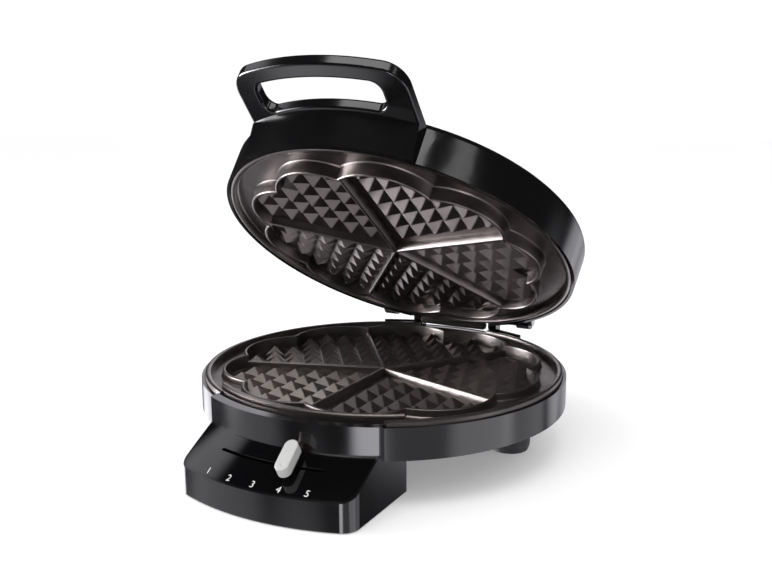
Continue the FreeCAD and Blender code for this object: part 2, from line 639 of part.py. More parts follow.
def handle_z(radius):
    return HANDLE_ROOT[1] + (radius - HANDLE_ROOT[0]) * HANDLE_SLOPE


def handle_slab():
    """A conical plate about the lid's axis, from which the handle's outline is taken."""
    inner, outer = 90.0, 175.0
    return turned([(inner, handle_z(inner)), (outer, handle_z(outer)),
                   (outer, handle_z(outer) + HANDLE_THICKNESS), (inner, handle_z(inner) + HANDLE_THICKNESS)])


def lid_handle():
    half = FRONT_HALF_WIDTH - 1.2
    outline = tongue(half, HANDLE_R, -104, HANDLE_CORNER_R, 40, 110)
    grip = tongue(GRIP_HALF_WIDTH, GRIP_OUTER_R, -100, 8.0, 30, 120).cut(disc(GRIP_INNER_R, 20, 130))
    rear_corners = [e for e in grip.Edges if e.BoundBox.XLength < 0.1 and e.BoundBox.YLength < 0.1
                    and math.hypot(e.CenterOfMass.x, e.CenterOfMass.y) < 131.5]
    loop = handle_slab().common(outline.cut(grip.makeFillet(6.0, rear_corners)))
    long_edges = [e for e in loop.Edges if e.BoundBox.YMin < -106 and e.BoundBox.XLength > 0.5]
    loop = loop.makeFillet(HANDLE_ROUND, long_edges)
    low, high = LID_RIM_Z - 1.3, handle_z(LID_FASCIA_R) + 1.0
    front_top_r = LID_FASCIA_R + (high - low) * LID_FASCIA_FLARE
    front = turned([(60, low), (LID_FASCIA_R, low), (front_top_r, high), (60, high)])
    fascia = tongue(half, HANDLE_R, -100, 0.8, low, high).common(front)
    handle = fascia.fuse(loop).cut(lid_outside()).cut(disc(LID_RIM_R + 0.1, 40, LID_RIM_Z + 1))
    handle = handle.cut(disc(118.0, LID_EDGE_Z, 100))
    for side in (-1, 1):
        start = Vector(side * HANDLE_SCREW_X, -100, HANDLE_SCREW_Z)
        handle = handle.cut(Part.makeCylinder(1.55, HANDLE_SCREW_DEPTH, start, Vector(0, -1, 0)))
    return handle.removeSplitter()


def handle_screws():
    screws = []
    for side in (-1, 1):
        seat_y = 2.4 - math.sqrt(118.2 ** 2 - HANDLE_SCREW_X ** 2)
        under_head = Vector(side * HANDLE_SCREW_X, seat_y, HANDLE_SCREW_Z)
        head = Part.makeCylinder(3.4, 1.8, under_head + Vector(0, 1.8, 0), Vector(0, -1, 0))
        screws.append(head.fuse(Part.makeCylinder(1.5, 7.0, under_head, Vector(0, -1, 0))))
    return Part.makeCompound(screws)


def upper_plate():
    body = disc(UPPER_PLATE_R, UPPER_GUTTER, UPPER_BACK)
    rim = ring(UPPER_PLATE_R, UPPER_PLATE_R - 3.4, UPPER_RIM_BOTTOM, UPPER_BACK)
    hearts = flower(UPPER_LOBE, 0, UPPER_WALL_BOTTOM, UPPER_BACK)
    lug = block(-27, 27, 113.8, 120.2, 48.3, 54.0)
    bosses = [disc(5, UPPER_BACK - 1, 65.0, polar(PLATE_SCREW_R, a)) for a in PLATE_SCREW_ANGLES]
    plate = fused(body, [rim, hearts, lug] + bosses)
    plate = plate.cut(flower(UPPER_LOBE, HEART_WALL, 40, UPPER_CEILING))
    pattern = plate_pyramids(UPPER_LOBE, UPPER_CEILING + 0.5, UPPER_CEILING, UPPER_APEX)
    plate = fused(plate, ribs(UPPER_LOBE, UPPER_RIB_BOTTOM, UPPER_CEILING + 0.5) + pattern)
    for angle in PLATE_SCREW_ANGLES:
        plate = plate.cut(disc(2.0, 57.5, 66, polar(PLATE_SCREW_R, angle)))
    return plate


def upper_reflector():
    dish = turned([(0, 65.2), (96, 65.2), (104, 61.0), (104.6, 61.6), (96.3, 65.8), (0, 65.8)])
    for angle in PLATE_SCREW_ANGLES:
        dish = dish.cut(disc(2.3, 60, 70, polar(PLATE_SCREW_R, angle)))
    for angle in (105, 75):
        dish = dish.cut(disc(3.4, 60, 70, polar(ELEMENT_RING_R, angle)))
    return dish


def upper_plate_screws():
    screws = []
    for angle in PLATE_SCREW_ANGLES:
        one = screw(polar(PLATE_SCREW_R, angle), 1.95, 3.8, 0, 7.6)
        one.rotate(polar(PLATE_SCREW_R, angle), X_AXIS, 180)
        one.translate(Vector(0, 0, 65.9))
        screws.append(one)
    return Part.makeCompound(screws)


def upper_leads():
    left = [polar(ELEMENT_RING_R, 105, 70.6), Vector(-20, 80, 71), Vector(-40, 98, 66)]
    right = [polar(ELEMENT_RING_R, 75, 70.6), Vector(20, 80, 71), Vector(40, 98, 66)]
    return Part.makeCompound([wire(left), wire(right)])


BASE = {
    "base_housing": base_housing, "console_panel": console_panel, "console_floor": console_floor,
    "bottom_cover": bottom_cover, "front_pads": front_pads, "rear_pads": rear_pads,
    "lower_plate": lower_plate, "lower_element": lambda: heating_element(LOWER_BACK - ELEMENT_R - 0.1, 28.2),
    "lower_reflector": lower_reflector, "lower_plate_screws": lower_plate_screws, "cover_screws": cover_screws,
    "thermostat": thermostat, "thermal_fuse": thermal_fuse, "terminal_block": terminal_block,
    "base_wiring": base_wiring, "cord_inlet": cord_inlet, "indicator_lens": indicator_lens,
    "pilot_lamp": pilot_lamp, "hinge_pins": hinge_pins,
}
SLIDER = {
    "slider_knob": slider_knob, "slider_carriage": slider_carriage,
    "slider_arm": slider_arm, "thermostat_spindle": thermostat_spindle,
}
LID = {
    "lid_shell": lid_shell, "lid_handle": lid_handle, "handle_screws": handle_screws,
    "upper_plate": upper_plate, "upper_element": lambda: heating_element(UPPER_BACK + ELEMENT_R + 0.1, 69.4),
    "upper_reflector": upper_reflector, "upper_plate_screws": upper_plate_screws, "upper_leads": upper_leads,
}


def main():
    os.makedirs("parts", exist_ok=True)
    shapes = {}
    for name, make in {**BASE, **SLIDER}.items():
        shapes[name] = make()
    for name, make in LID.items():
        shapes[name] = make()
        shapes[name].rotate(Vector(0, HINGE_Y, HINGE_Z), X_AXIS, -LID_OPEN_ANGLE)
    whole = Part.makeCompound(list(shapes.values())).optimalBoundingBox(False)
    centre_y = (whole.YMin + whole.YMax) / 2
    for name, shape in shapes.items():
        shape.translate(Vector(0, -centre_y, 0))
        print(name, len(shape.Solids), shape.isValid(), round(shape.Volume / 1000, 2))
        shape.exportStep("parts/" + name + ".step")
    print("plate axis at y =", round(-centre_y, 3), "size", whole.XLength, whole.YLength, whole.ZLength)


main()
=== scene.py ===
"""Looks of the heart waffle maker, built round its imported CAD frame.  Metres, same frame as the CAD."""
import json
import math

import bmesh
import bpy
from mathutils import Matrix, Vector


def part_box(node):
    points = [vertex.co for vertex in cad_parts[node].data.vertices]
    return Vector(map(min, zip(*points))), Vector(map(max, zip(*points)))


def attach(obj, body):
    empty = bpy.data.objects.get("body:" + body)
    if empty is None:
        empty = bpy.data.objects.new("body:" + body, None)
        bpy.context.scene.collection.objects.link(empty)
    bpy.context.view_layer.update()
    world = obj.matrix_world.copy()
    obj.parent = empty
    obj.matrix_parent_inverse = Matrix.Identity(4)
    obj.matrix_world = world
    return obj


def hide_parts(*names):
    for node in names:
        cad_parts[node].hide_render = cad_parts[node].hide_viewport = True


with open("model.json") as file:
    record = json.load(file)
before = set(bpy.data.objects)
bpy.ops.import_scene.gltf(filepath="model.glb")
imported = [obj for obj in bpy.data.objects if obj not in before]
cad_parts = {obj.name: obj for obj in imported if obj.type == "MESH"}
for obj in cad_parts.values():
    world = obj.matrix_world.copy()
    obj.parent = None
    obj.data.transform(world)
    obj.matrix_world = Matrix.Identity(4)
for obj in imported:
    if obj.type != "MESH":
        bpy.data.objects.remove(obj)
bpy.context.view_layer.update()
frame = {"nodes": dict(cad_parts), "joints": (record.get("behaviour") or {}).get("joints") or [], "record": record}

MM = 0.001

# ---- places read from the frame ----
HINGE = next(j for j in frame["joints"] if j["name"] == "lid_hinge")
SLIDER = next(j for j in frame["joints"] if j["name"] == "heat_slider")
HINGE_POINT = Vector(HINGE["pos_m"])
PLATE_AXIS = Vector(SLIDER["pos_m"])
OPEN_ANGLE = -math.radians(36.8)     # from the closed lid to the lid at rest


# ---- material helpers ----
def material(name, colour, roughness, metallic=0.0, **sockets):
    mat = bpy.data.materials.new(name)
    mat.use_nodes = True
    shader = mat.node_tree.nodes["Principled BSDF"]
    shader.inputs["Base Color"].default_value = (*colour, 1.0)
    shader.inputs["Roughness"].default_value = roughness
    shader.inputs["Metallic"].default_value = metallic
    for socket, value in sockets.items():
        shader.inputs[socket.replace("_", " ")].default_value = value
    return mat


def noise(mat, scale, detail=4.0, roughness=0.6):
    nodes, links = mat.node_tree.nodes, mat.node_tree.links
    coords = nodes.get("coords") or nodes.new("ShaderNodeTexCoord")
    coords.name = "coords"
    tex = nodes.new("ShaderNodeTexNoise")
    tex.inputs["Scale"].default_value = scale
    tex.inputs["Detail"].default_value = detail
    tex.inputs["Roughness"].default_value = roughness
    links.new(coords.outputs["Object"], tex.inputs["Vector"])
    return tex


def vary(mat, socket, tex, low, high, start=0.3, end=0.7):
    """Drive a shader socket by a texture between two values or two colours."""
    nodes, links = mat.node_tree.nodes, mat.node_tree.links
    shader = nodes["Principled BSDF"]
    ramp = nodes.new("ShaderNodeValToRGB")
    ramp.color_ramp.elements[0].position = start
    ramp.color_ramp.elements[1].position = end
    if not isinstance(low, tuple):
        low, high = (low,) * 3, (high,) * 3
    ramp.color_ramp.elements[0].color = (*low, 1.0)
    ramp.color_ramp.elements[1].color = (*high, 1.0)
    links.new(tex.outputs["Fac"], ramp.inputs["Fac"])
    links.new(ramp.outputs["Color"], shader.inputs[socket])


def bumps(mat, layers):
    """Chain bump nodes: each layer is a texture with a depth in metres."""
    nodes, links = mat.node_tree.nodes, mat.node_tree.links
    normal = None
    for tex, depth in layers:
        bump = nodes.new("ShaderNodeBump")
        bump.inputs["Distance"].default_value = depth
        bump.inputs["Strength"].default_value = 1.0
        links.new(tex.outputs["Fac"], bump.inputs["Height"])
        if normal:
            links.new(normal, bump.inputs["Normal"])
        normal = bump.outputs["Normal"]
    links.new(normal, nodes["Principled BSDF"].inputs["Normal"])


def gloss_black():
    mat = material("gloss_black", (0.0030, 0.0030, 0.0034), 0.14, Coat_Weight=0.15, Coat_Roughness=0.06)
    cloudy = noise(mat, 26.0, 5.0)
    vary(mat, "Roughness", cloudy, 0.11, 0.18)
    bumps(mat, [(noise(mat, 900.0, 2.0), 0.000004), (noise(mat, 9.0, 2.0), 0.00012)])
    return mat


def panel_black():
    mat = material("panel_black", (0.0015, 0.0015, 0.0018), 0.07, Coat_Weight=0.3, Coat_Roughness=0.03)
    vary(mat, "Roughness", noise(mat, 40.0, 5.0), 0.05, 0.10)
    bumps(mat, [(noise(mat, 12.0, 2.0), 0.00006)])
    return mat


def matte_black():
    mat = material("matte_black", (0.012, 0.012, 0.013), 0.58)
    vary(mat, "Base Color", noise(mat, 30.0), (0.010, 0.010, 0.011), (0.016, 0.016, 0.017))
    vary(mat, "Roughness", noise(mat, 60.0), 0.5, 0.65)
    bumps(mat, [(noise(mat, 2600.0, 3.0), 0.00002), (noise(mat, 14.0, 2.0), 0.00008)])
    return mat


def nonstick():
    mat = material("nonstick_cast", (0.21, 0.189, 0.180), 0.34, metallic=1.0)
    blotches = noise(mat, 55.0, 6.0, 0.65)
    vary(mat, "Base Color", blotches, (0.18, 0.160, 0.152), (0.24, 0.218, 0.208), 0.25, 0.75)
    vary(mat, "Roughness", noise(mat, 140.0, 5.0), 0.30, 0.38)
    bumps(mat, [(noise(mat, 1500.0, 3.0), 0.00005), (noise(mat, 320.0, 3.0), 0.00008)])
    return mat


def grey_knob():
    mat = material("knob_grey", (0.46, 0.46, 0.46), 0.38)
    vary(mat, "Base Color", noise(mat, 70.0), (0.43, 0.43, 0.427), (0.49, 0.49, 0.485))
    vary(mat, "Roughness", noise(mat, 110.0), 0.32, 0.44)
    bumps(mat, [(noise(mat, 2400.0, 3.0), 0.00002)])
    return mat


def metal(name, colour, roughness):
    mat = material(name, colour, roughness, metallic=1.0)
    vary(mat, "Roughness", noise(mat, 180.0, 5.0), roughness * 0.8, roughness * 1.25)
    bumps(mat, [(noise(mat, 1300.0, 3.0), 0.00003)])
    return mat


def plain(name, colour, roughness, **sockets):
    mat = material(name, colour, roughness, **sockets)
    dark = tuple(c * 0.82 for c in colour)
    vary(mat, "Base Color", noise(mat, 80.0, 5.0), dark, colour)
    vary(mat, "Roughness", noise(mat, 160.0), roughness * 0.85, min(1.0, roughness * 1.15))
    bumps(mat, [(noise(mat, 1500.0, 3.0), 0.00003)])
    return mat


SLOT_MATERIALS = {
    "housing_plastic": gloss_black(),
    "panel_gloss": panel_black(),
    "matte_black": matte_black(),
    "rubber_black": plain("rubber_black", (0.02, 0.02, 0.02), 0.8),
    "nonstick_cast": nonstick(),
    "knob_grey": grey_knob(),
    "steel": metal("steel", (0.55, 0.55, 0.56), 0.28),
    "reflector_metal": metal("reflector_metal", (0.75, 0.75, 0.76), 0.22),
    "heater_steel": metal("heater_steel", (0.30, 0.26, 0.23), 0.45),
    "ceramic": plain("ceramic", (0.72, 0.69, 0.62), 0.55),
    "wire_insulation": plain("wire_insulation", (0.35, 0.07, 0.04), 0.6),
    "lens_smoked": plain("lens_smoked", (0.012, 0.006, 0.006), 0.10, Coat_Weight=0.5),
    "lamp_glass": plain("lamp_glass", (0.85, 0.6, 0.45), 0.08, Transmission_Weight=0.8),
    "brass": metal("brass", (0.65, 0.46, 0.20), 0.3),
}
PRINT_WHITE = plain("print_white", (0.85, 0.85, 0.85), 0.5)
NODE_SLOTS = {s["node"]: s["material_slot"] for s in frame["record"]["subparts"]}


def dress_cad_nodes():
    for name, node in frame["nodes"].items():
        node.data.materials.clear()
        node.data.materials.append(SLOT_MATERIALS[NODE_SLOTS[name]])


dress_cad_nodes()


LID_SHARP_EDGE = 30


def even_shading(node):
    """Shade the lid's dome evenly across its middle, keeping every real edge sharp."""
    split = node.modifiers.new("edges", "EDGE_SPLIT")
    split.split_angle = math.radians(LID_SHARP_EDGE)
    even = node.modifiers.new("even", "WEIGHTED_NORMAL")
    even.mode = "FACE_AREA"
    even.weight = 50


even_shading(frame["nodes"]["lid_shell"])


# ---- cooking plates, in millimetres and degrees about the plate axis, with the lid closed ----
HEARTS = 5
HEART = 360 / HEARTS         # the angle a heart takes, which is two lobes of the outline
LOBE = HEART / 2
FIRST_RIB = -90.0
WALL = 2.0                   # thickness of the wall round the hearts
PITCH = 14.0                 # of the pyramids, along both ribs of a heart
VALLEY = 0.3                 # flat left between two pyramids
ROW_STARTS = [(8.3, 7.1), (6.9, 3.5), (1.0, 6.1), (7.8, -1.5), (4.5, 7.2)]   # of each heart's pyramids
ROWS = range(-1, 8)          # enough rows to fill a heart
LUG_HALF_ANGLE = 14.2        # the rear lug's notch in the lower plate's rim
FASCIA_HALF_ANGLE = 28.7     # where the front fascia cuts the skirt back
LEDGE_HALF_ANGLE = 34.5      # the raised ledge in front of the hearts
PLATE_SHARP_EDGE = 32        # edges that turn more than this are shaded sharp
HUB_R, INNER_R = 2.0, 40.0   # first circles of both plates' skins, inside the hearts
STEPS_PER_LOBE = 20          # of the skins round each lobe
END_STEP = 0.12              # half the width of a step in the skin at the ends of those angles


def flower_radius(lobe, inset, degrees):
    """Radius of the ten-lobed outline at an angle, moved in by inset."""
    centre_r, own_r = lobe
    off_axis = math.radians((degrees - FIRST_RIB) % LOBE - LOBE / 2)
    across = centre_r * math.sin(off_axis)
    return centre_r * math.cos(off_axis) + math.sqrt((own_r - inset) ** 2 - across ** 2)


def ring_angles():
    """Even steps, and a close pair of angles at each end of the notch, the fascia and the ledge."""
    angles = {FIRST_RIB + i * LOBE / STEPS_PER_LOBE for i in range(int(STEPS_PER_LOBE * 360 / LOBE))}
    for middle, half in ((90, LUG_HALF_ANGLE), (-90, FASCIA_HALF_ANGLE), (-90, LEDGE_HALF_ANGLE)):
        for side in (-1, 1):
            for offset in (-END_STEP, END_STEP):
                angles.add((middle + side * half + offset + 90) % 360 - 90)
    return sorted(angles)


def near(degrees, middle, half):
    return abs((degrees - middle + 180) % 360 - 180) < half


def polar_surface(bm, layers):
    """A closed skin.  Each layer maps an angle to (radius, z); the first and the last close over the axis."""
    angles = ring_angles()
    rings = []
    for layer in layers:
        ring = []
        for degrees in angles:
            radius, z = layer(degrees)
            turn = math.radians(degrees)
            ring.append(bm.verts.new((radius * math.cos(turn), radius * math.sin(turn), z)))
        rings.append(ring)
    for inner, outer in zip(rings, rings[1:]):
        for i in range(len(angles)):
            j = (i + 1) % len(angles)
            bm.faces.new((inner[i], inner[j], outer[j], outer[i]))
    bm.faces.new(list(reversed(rings[0])))
    bm.faces.new(rings[-1])


def circle(radius, z):
    return lambda degrees: (radius, z)


def petal(lobe, inset, z):
    return lambda degrees: (flower_radius(lobe, inset, degrees), z)


def wall_layers(lobe, foot_in, foot_out, crest, floor, gutter):
    """From the heart's floor over the rounded wall to the gutter.  Up is the sign of crest - floor."""
    up = 1 if crest > floor else -1
    inner_round, outer_round, crest_steps = 0.9, 0.7, 8
    layers = [petal(lobe, WALL + foot_in + inner_round, floor),
              petal(lobe, WALL + foot_in, floor + up * inner_round)]
    for i in range(crest_steps + 1):
        turn = math.pi * i / crest_steps
        layers.append(petal(lobe, WALL / 2 + math.cos(turn), crest - up * (1 - math.sin(turn))))
    layers += [petal(lobe, -foot_out, gutter + up * outer_round),
               petal(lobe, -foot_out - outer_round, gutter)]
    return layers


def rib_profile(top, floor):
    """A rib's section: rooted in the floor, with sloped sides and a rounded top."""
    up = 1 if top > floor else -1
    half = [(2.1, floor - up * 0.6), (2.1, floor + up * 0.3), (1.25, top - up * 0.9), (0.85, top - up * 0.25),
            (0.4, top)]
    return [(-y, z) for y, z in half] + half[::-1]


def add_rib(bm, lobe, degrees, top, floor):
    length = flower_radius(lobe, 1.0, degrees)
    turn = Matrix.Rotation(math.radians(degrees), 4, "Z")
    ends = [[bm.verts.new(turn @ Vector((x, y, z))) for y, z in rib_profile(top, floor)] for x in (0, length)]
    count = len(ends[0])
    for i in range(count):
        j = (i + 1) % count
        bm.faces.new((ends[0][i], ends[0][j], ends[1][j], ends[1][i]))
    bm.faces.new(list(reversed(ends[0])))
    bm.faces.new(ends[1])


def add_pyramid(bm, centre, along_a, along_b, apex_z, floor, cuts):
    """One pyramid with a blunt tip, rounded edges and a root in the floor, cut at the walls and ribs."""
    half = (PITCH - VALLEY) / 2
    up = 1 if apex_z > floor else -1
    tip, root, foot, edge_round = 0.35, 0.4, 0.05, 0.3
    one = bmesh.new()
    stack = []
    for reach, z in ((half, floor - up * root), (half, floor + up * foot), (tip, apex_z)):
        corners = [centre + along_a * (s * reach) + along_b * (t * reach)
                   for s, t in ((-1, -1), (1, -1), (1, 1), (-1, 1))]
        stack.append([one.verts.new((corner.x, corner.y, z)) for corner in corners])
    for below, above in zip(stack, stack[1:]):
        for i in range(4):
            j = (i + 1) % 4
            one.faces.new((below[i], below[j], above[j], above[i]))
    one.faces.new(list(reversed(stack[0])))
    one.faces.new(stack[-1])
    slopes = [e for e in one.edges if abs(e.verts[0].co.z - e.verts[1].co.z) > 1.0]
    bmesh.ops.bevel(one, geom=slopes, offset=edge_round, segments=2, affect="EDGES", clamp_overlap=True)
    for point, outward in cuts:
        geometry = one.verts[:] + one.edges[:] + one.faces[:]
        cut = bmesh.ops.bisect_plane(one, geom=geometry, plane_co=point, plane_no=outward, clear_outer=True)
        edges = [g for g in cut["geom_cut"] if isinstance(g, bmesh.types.BMEdge)]
        if edges:
            bmesh.ops.contextual_create(one, geom=edges)
    bmesh.ops.recalc_face_normals(one, faces=one.faces[:])
    mesh = bpy.data.meshes.new("one")
    one.to_mesh(mesh)
    one.free()
    bm.from_mesh(mesh)
    bpy.data.meshes.remove(mesh)


def unit(degrees):
    return Vector((math.cos(math.radians(degrees)), math.sin(math.radians(degrees)), 0))


def add_heart_pyramids(bm, heart, lobe, apex_z, floor):
    """Fill one heart with pyramids in rows along its two ribs, leaving out those that hardly fit."""
    first = FIRST_RIB + HEART * heart
    along_a, along_b = unit(first), unit(first + HEART)
    start_a, start_b = ROW_STARTS[heart]
    centre_r, own_r = lobe
    least_room, least_rib_room = 3.0, 1.5
    for i in ROWS:
        for j in ROWS:
            a = start_a + (i + 0.5) * PITCH
            b = start_b + (j + 0.5) * PITCH
            centre = along_a * a + along_b * b
            angle = math.degrees(math.atan2(centre.y, centre.x))
            from_rib = (angle - first) % 360
            lobe_centre = unit(first + LOBE * (0.5 if from_rib < LOBE else 1.5)) * centre_r
            room = own_r - WALL - (centre - lobe_centre).length
            rib_room = min(a, b) * math.sin(math.radians(HEART))
            past_wall = centre.length > centre_r and room < least_room
            if past_wall or rib_room < least_rib_room or from_rib > HEART:
                continue
            hub = Vector((0, 0, 0))
            cuts = [(hub, unit(first - 90)), (hub, unit(first + HEART + 90))]
            if room < PITCH:
                for lobe_turn in (0.5, 1.5):
                    middle = unit(first + LOBE * lobe_turn) * centre_r
                    outward = centre - middle
                    beyond = outward.length > own_r - PITCH and outward.dot(middle) > 0
                    if beyond and near(angle, first + LOBE * lobe_turn, LOBE / 2):
                        outward.normalize()
                        cuts.append((middle + outward * (own_r - WALL / 2), outward))
            add_pyramid(bm, centre, along_a, along_b, apex_z, floor, cuts)


def finish_plate(name, bm, body, node, pose=Matrix.Identity(4)):
    """Turn a mesh in plate millimetres into a piece in the frame, at rest."""
    bmesh.ops.recalc_face_normals(bm, faces=bm.faces[:])
    mesh = bpy.data.meshes.new(name)
    bm.to_mesh(mesh)
    bm.free()
    to_frame = Matrix.Translation((0, PLATE_AXIS.y, 0)) @ Matrix.Scale(MM, 4)
    mesh.transform(pose @ to_frame)
    mesh.shade_smooth()
    mesh.set_sharp_from_angle(angle=math.radians(PLATE_SHARP_EDGE))
    piece = bpy.data.objects.new(name, mesh)
    bpy.context.collection.objects.link(piece)
    slot = "nonstick_cast"
    mesh.materials.append(SLOT_MATERIALS[slot])
    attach(piece, body)
    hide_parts(node)


def lid_pose():
    """Swing from the closed lid, which the dimensions describe, to the lid at rest."""
    there = Matrix.Translation(HINGE_POINT)
    return there @ Matrix.Rotation(OPEN_ANGLE, 4, "X") @ there.inverted()


def make_lower_plate():
    lobe = (68.1, 38.4)
    floor, gutter, crest = 41.2, 45.5, 50.4
    rib_top, apex = 46.4, 46.2
    rim_top, notch_top, ledge_top, skirt_bottom = 50.2, 47.6, 51.8, 37.2
    front_skirt_r = 115.2
    gutter_back, heart_back = 42.9, 38.2

    def rim(radius, z):
        def at(degrees):
            low_z = min(z, notch_top) if near(degrees, 90, LUG_HALF_ANGLE) else z
            cut = front_skirt_r if near(degrees, -90, FASCIA_HALF_ANGLE) else radius
            return min(radius, cut), low_z
        return at

    def ledge(radius, z):
        return lambda degrees: (radius, z if near(degrees, -90, LEDGE_HALF_ANGLE) else gutter)

    bm = bmesh.new()
    layers = [circle(HUB_R, floor), circle(INNER_R, floor)]
    layers += wall_layers(lobe, 0.3, 0.4, crest, floor, gutter)
    layers += [ledge(108.4, gutter), ledge(108.6, ledge_top - 0.7), ledge(109.2, ledge_top),
               ledge(111.2, ledge_top), ledge(111.8, ledge_top - 0.7), ledge(112.0, gutter)]
    layers += [circle(113.2, gutter), rim(113.8, gutter + 0.6), rim(113.8, rim_top - 1.2),
               rim(114.2, rim_top - 0.4), rim(114.9, rim_top), rim(116.5, rim_top), rim(117.2, rim_top - 0.3),
               rim(117.6, rim_top - 1.1), rim(117.6, skirt_bottom), rim(114.0, skirt_bottom),
               circle(113.8, gutter_back), petal(lobe, -0.5, gutter_back), petal(lobe, 0.0, heart_back),
               circle(HUB_R, heart_back)]
    polar_surface(bm, layers)
    for heart in range(HEARTS):
        add_rib(bm, lobe, FIRST_RIB + HEART * heart, rib_top, floor)
        add_heart_pyramids(bm, heart, lobe, apex, floor)
    finish_plate("lower_plate_cast", bm, "base", "lower_plate")


def add_box(bm, low, high, bevel):
    corners = [bm.verts.new((x, y, z)) for z in (low[2], high[2])
               for x, y in ((low[0], low[1]), (high[0], low[1]), (high[0], high[1]), (low[0], high[1]))]
    faces = [(0, 3, 2, 1), (4, 5, 6, 7)] + [(i, (i + 1) % 4, (i + 1) % 4 + 4, i + 4) for i in range(4)]
    made = [bm.faces.new([corners[i] for i in face]) for face in faces]
    edges = list({e for f in made for e in f.edges})
    bmesh.ops.bevel(bm, geom=edges, offset=bevel, segments=3, affect="EDGES")


def make_upper_plate():
    lobe = (65.4, 35.6)
    ceiling, gutter, crest, rim_bottom, back = 54.8, 56.0, 47.0, 51.4, 58.5
    rib_bottom, apex = 48.5, 49.5
    lug_low, lug_high, lug_round = (-27, 113.8, 48.3), (27, 120.2, 54.0), 1.2
    bm = bmesh.new()
    layers = [circle(HUB_R, ceiling), circle(INNER_R, ceiling)]
    layers += wall_layers(lobe, 0.3, 0.5, crest, ceiling, gutter)
    layers += [circle(112.8, gutter), circle(113.6, gutter - 0.7), circle(113.6, rim_bottom + 1.0),
               circle(113.9, rim_bottom + 0.3), circle(114.5, rim_bottom), circle(116.2, rim_bottom),
               circle(116.8, rim_bottom + 0.3), circle(117.0, rim_bottom + 1.0), circle(117.0, back),
               circle(HUB_R, back)]
    polar_surface(bm, layers)
    for heart in range(HEARTS):
        add_rib(bm, lobe, FIRST_RIB + HEART * heart, rib_bottom, ceiling)
        add_heart_pyramids(bm, heart, lobe, apex, ceiling)
    add_box(bm, lug_low, lug_high, lug_round)
    finish_plate("upper_plate_cast", bm, "lid", "upper_plate", lid_pose())


make_lower_plate()
make_upper_plate()


# ---- printed scale ----
FIGURE_SHARE = 0.7           # a figure's height, as a share of its font size


def make_scale():
    """Figures 1 to 5 printed on the conical panel below the slot."""
    panel_slope, panel_top_r = 0.611, 124.55
    figure_r, step, middle_turn, height = 147.3, 6.42, -0.2, 4.2
    lift, thickness, thinning = 0.12, 0.06, 0.06
    panel_top_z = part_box("console_panel")[1].z / MM
    for i in range(5):
        data = bpy.data.curves.new("figure", "FONT")
        data.body = str(i + 1)
        data.size = height / FIGURE_SHARE
        data.align_x = "CENTER"
        data.align_y = "CENTER"
        data.extrude = thickness / 2
        data.offset = -thinning
        text = bpy.data.objects.new("figure", data)
        bpy.context.collection.objects.link(text)
        bpy.context.view_layer.update()
        mesh = bpy.data.meshes.new_from_object(text.evaluated_get(bpy.context.evaluated_depsgraph_get()))
        bpy.data.objects.remove(text)
        weld = bmesh.new()
        weld.from_mesh(mesh)
        bmesh.ops.remove_doubles(weld, verts=weld.verts[:], dist=0.001)
        weld.to_mesh(mesh)
        weld.free()
        turn = math.radians(middle_turn + (i - 2) * step)
        height_there = panel_top_z - panel_slope * (figure_r - panel_top_r) + lift
        place = Matrix.Rotation(turn, 4, "Z") @ Matrix.Translation((0, -figure_r, height_there))
        tilt = Matrix.Rotation(math.atan(panel_slope), 4, "X")
        mesh.transform(place @ tilt @ Matrix.Rotation(-turn, 4, "Z"))
        mesh.transform(Matrix.Translation((0, PLATE_AXIS.y, 0)) @ Matrix.Scale(MM, 4))
        piece = bpy.data.objects.new("scale_figure_" + str(i + 1), mesh)
        bpy.context.collection.objects.link(piece)
        mesh.materials.clear()
        mesh.materials.append(PRINT_WHITE)
        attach(piece, "base")


make_scale()


# ---- stage, light and camera ----
def make_floor():
    """A pale floor that gives off a little light and has a faint sheen; reflections don't show it."""
    size, below_feet = 6.0, 0.0002
    mesh = bpy.data.meshes.new("floor")
    corners = [(-size, -size, 0), (size, -size, 0), (size, size, 0), (-size, size, 0)]
    mesh.from_pydata(corners, [], [(0, 1, 2, 3)])
    floor = bpy.data.objects.new("floor", mesh)
    floor.location.z = -below_feet
    floor.visible_glossy = False
    bpy.context.collection.objects.link(floor)
    mat = material("floor_white", (0.8, 0.8, 0.8), 0.5, Specular_IOR_Level=0.0, Emission_Strength=0.24)
    nodes, links = mat.node_tree.nodes, mat.node_tree.links
    nodes["Principled BSDF"].inputs["Emission Color"].default_value = (1.0, 1.0, 1.0, 1.0)
    vary(mat, "Roughness", noise(mat, 3.0), 0.45, 0.55)
    sheen = nodes.new("ShaderNodeBsdfGlossy")
    sheen.inputs["Roughness"].default_value = 0.14
    mix = nodes.new("ShaderNodeMixShader")
    mix.inputs["Fac"].default_value = 0.07
    links.new(nodes["Principled BSDF"].outputs["BSDF"], mix.inputs[1])
    links.new(sheen.outputs["BSDF"], mix.inputs[2])
    links.new(mix.outputs["Shader"], nodes["Material Output"].inputs["Surface"])
    mesh.materials.append(mat)


def direction(azimuth, elevation):
    """The way out from the object: azimuth 0 is the front, 90 the right."""
    turn, rise = math.radians(azimuth), math.radians(elevation)
    return Vector((math.sin(turn) * math.cos(rise), -math.cos(turn) * math.cos(rise), math.sin(rise)))


def softbox(name, azimuth, elevation, distance, width, height, radiance):
    """A rectangular light that faces the middle of the object."""
    target = Vector((0, 0, 0.09))
    place = target + direction(azimuth, elevation) * distance
    data = bpy.data.lights.new(name, "AREA")
    data.shape = "RECTANGLE"
    data.size, data.size_y = width, height
    data.energy = radiance * math.pi * width * height
    lamp = bpy.data.objects.new(name, data)
    lamp.location = place
    lamp.rotation_euler = (target - place).to_track_quat("-Z", "Y").to_euler()
    bpy.context.collection.objects.link(lamp)


